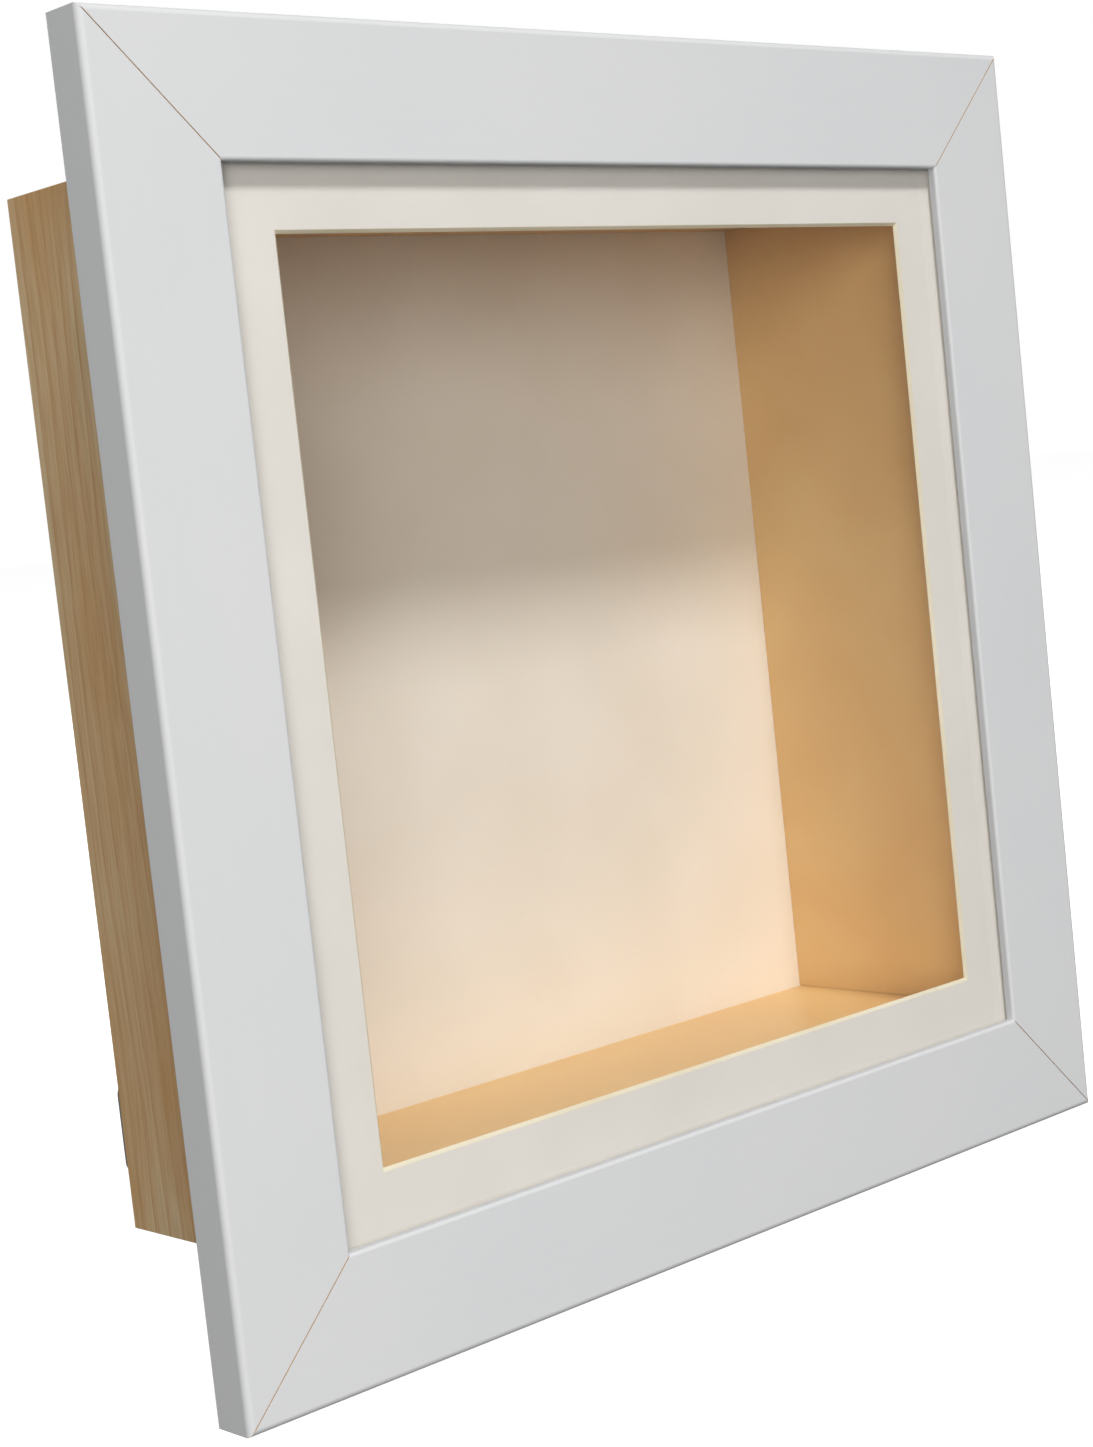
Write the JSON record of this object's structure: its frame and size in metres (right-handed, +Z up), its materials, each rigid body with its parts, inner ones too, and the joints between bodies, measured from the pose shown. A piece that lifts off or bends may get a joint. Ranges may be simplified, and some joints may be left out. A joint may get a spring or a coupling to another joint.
{
  "type": "shadow box",
  "caption": "Square shadow box: white mitred frame with glazing and a bevelled window mat on a deep pine box, with a lift-out back panel held by turn buttons.",
  "frame": {"origin": "bottom centre of the whole object's box: the frame's bottom edge is on Z = 0", "axes": "+Z up, front face towards -Y, +X to the viewer's right; Y is the depth, the shortest extent"},
  "size_m": [0.305, 0.085, 0.305],
  "materials": {
    "white_moulding": "satin white foil wrapped over fibreboard moulding",
    "pine": "planed bare pine, long grain",
    "liner_board": "smooth tan board, matt",
    "clear_glazing": "clear, polished",
    "mat_board": "matt off-white paper face with a cream core at the bevel",
    "white_card": "matt white card",
    "hardboard": "brown hardboard, smooth outside",
    "zinc_steel": "zinc plated, pressed",
    "bright_steel": "plain drawn wire",
    "clear_rubber": "soft, semi-matt"
  },
  "bodies": {
    "case": {"frame_rail_top": "white_moulding", "box_board_top": "pine", "liner_top": "liner_board", "frame_rail_right": "white_moulding", "box_board_right": "pine", "liner_right": "liner_board", "frame_rail_bottom": "white_moulding", "box_board_bottom": "pine", "liner_bottom": "liner_board", "frame_rail_left": "white_moulding", "box_board_left": "pine", "liner_left": "liner_board", "glazing_sheet": "clear_glazing", "window_mat": "mat_board", "sawtooth_hanger": "zinc_steel", "corner_v_nails": "bright_steel", "frame_pins": "bright_steel", "box_corner_pins": "bright_steel", "turn_button_screws": "zinc_steel", "hanger_nails": "bright_steel", "bumper_pads": "clear_rubber"},
    "back_panel": {"back_card": "white_card", "back_board": "hardboard"},
    "button_top_left": {"turn_button_top_left": "zinc_steel"},
    "button_top_right": {"turn_button_top_right": "zinc_steel"},
    "button_right": {"turn_button_right": "zinc_steel"},
    "button_bottom_left": {"turn_button_bottom_left": "zinc_steel"},
    "button_bottom_right": {"turn_button_bottom_right": "zinc_steel"},
    "button_left": {"turn_button_left": "zinc_steel"}
  },
  "joints": [
    {"name": "back_panel_lift_out", "type": "slide", "parent": "case", "child": "back_panel", "axis": [0, 1, 0], "range_m": [0, 0.06]},
    {"name": "turn_top_left", "type": "hinge", "parent": "case", "child": "button_top_left", "pos_m": [-0.07, 0.0398, 0.27325], "axis": [0, 1, 0], "continuous": true},
    {"name": "turn_top_right", "type": "hinge", "parent": "case", "child": "button_top_right", "pos_m": [0.07, 0.0398, 0.27325], "axis": [0, 1, 0], "continuous": true},
    {"name": "turn_right", "type": "hinge", "parent": "case", "child": "button_right", "pos_m": [0.12075, 0.0398, 0.0595], "axis": [0, 1, 0], "continuous": true},
    {"name": "turn_bottom_left", "type": "hinge", "parent": "case", "child": "button_bottom_left", "pos_m": [-0.07, 0.0398, 0.03175], "axis": [0, 1, 0], "continuous": true},
    {"name": "turn_bottom_right", "type": "hinge", "parent": "case", "child": "button_bottom_right", "pos_m": [0.07, 0.0398, 0.03175], "axis": [0, 1, 0], "continuous": true},
    {"name": "turn_left", "type": "hinge", "parent": "case", "child": "button_left", "pos_m": [-0.12075, 0.0398, 0.0595], "axis": [0, 1, 0], "continuous": true}
  ]
}
